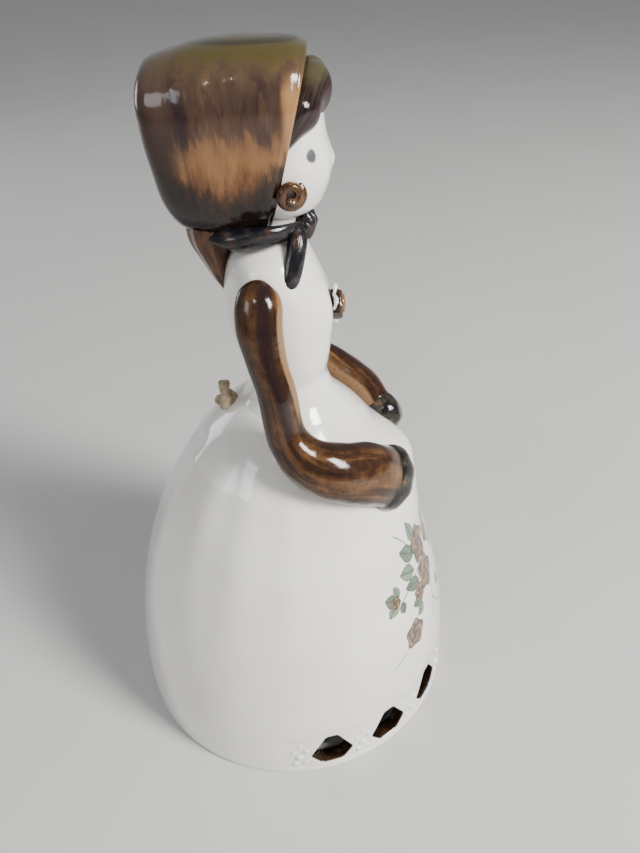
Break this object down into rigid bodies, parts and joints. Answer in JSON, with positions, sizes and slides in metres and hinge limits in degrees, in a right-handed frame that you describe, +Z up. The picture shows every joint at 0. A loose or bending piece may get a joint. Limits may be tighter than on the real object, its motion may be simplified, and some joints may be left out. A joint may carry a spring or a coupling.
{
  "type": "porcelain bell",
  "caption": "Glazed porcelain table bell shaped as a bonneted lady, its wide hollow skirt rung by a ball hanging on twine.",
  "frame": {"origin": "centre of the hem, on the surface that the bell stands on", "axes": "+Z up, +X towards the figure's front, +Y towards the figure's left hand"},
  "size_m": [0.08, 0.08, 0.1488],
  "materials": {
    "porcelain": "glossy clear glaze on white porcelain, painted roses on the front of the skirt",
    "face": "glossy clear glaze, small painted grey eyes",
    "hair": "glossy dark brown glaze",
    "bonnet": "glossy brushed brown glaze, tan streaks, nearly black underneath",
    "ribbon": "glossy near-black glaze, thin and brown on its edges",
    "sleeve": "glossy mottled brown glaze, amber where it thins at the edges",
    "mitten": "glossy near-black glaze",
    "rose": "glossy brown glaze on folded petals",
    "twine": "matt twisted cotton twine",
    "clapper": "glossy clear glaze on a white ball"
  },
  "bodies": {
    "figure": {"skirt_shell": "porcelain", "bodice": "porcelain", "neck": "porcelain", "head": "face", "hair_fringe": "hair", "hair_back": "hair", "bonnet_brim": "bonnet", "bonnet_crown": "bonnet", "bonnet_tie_right": "ribbon", "bonnet_tie_left": "ribbon", "ribbon_knot": "ribbon", "ribbon_tail_right": "ribbon", "ribbon_tail_left": "ribbon", "side_curl_right": "hair", "side_curl_left": "hair", "right_sleeve": "sleeve", "left_sleeve": "sleeve", "right_hand": "mitten", "left_hand": "mitten", "corsage_rose": "rose", "corsage_leaves": "porcelain", "outer_knot": "twine", "cord_in_hole": "twine"},
    "twine_bend": {"cord_bend": "twine"},
    "hanging_clapper": {"clapper_cord": "twine", "clapper": "clapper", "clapper_knot": "twine"}
  },
  "joints": [
    {"name": "clapper_fore_aft", "type": "hinge", "parent": "figure", "child": "twine_bend", "pos_m": [-0.00659, 0, 0.07127], "axis": [0, -1, 0], "range_deg": [-20, 34]},
    {"name": "clapper_sideways", "type": "hinge", "parent": "twine_bend", "child": "hanging_clapper", "pos_m": [-0.00659, 0, 0.07127], "axis": [1, 0, 0], "range_deg": [-19, 19]}
  ]
}
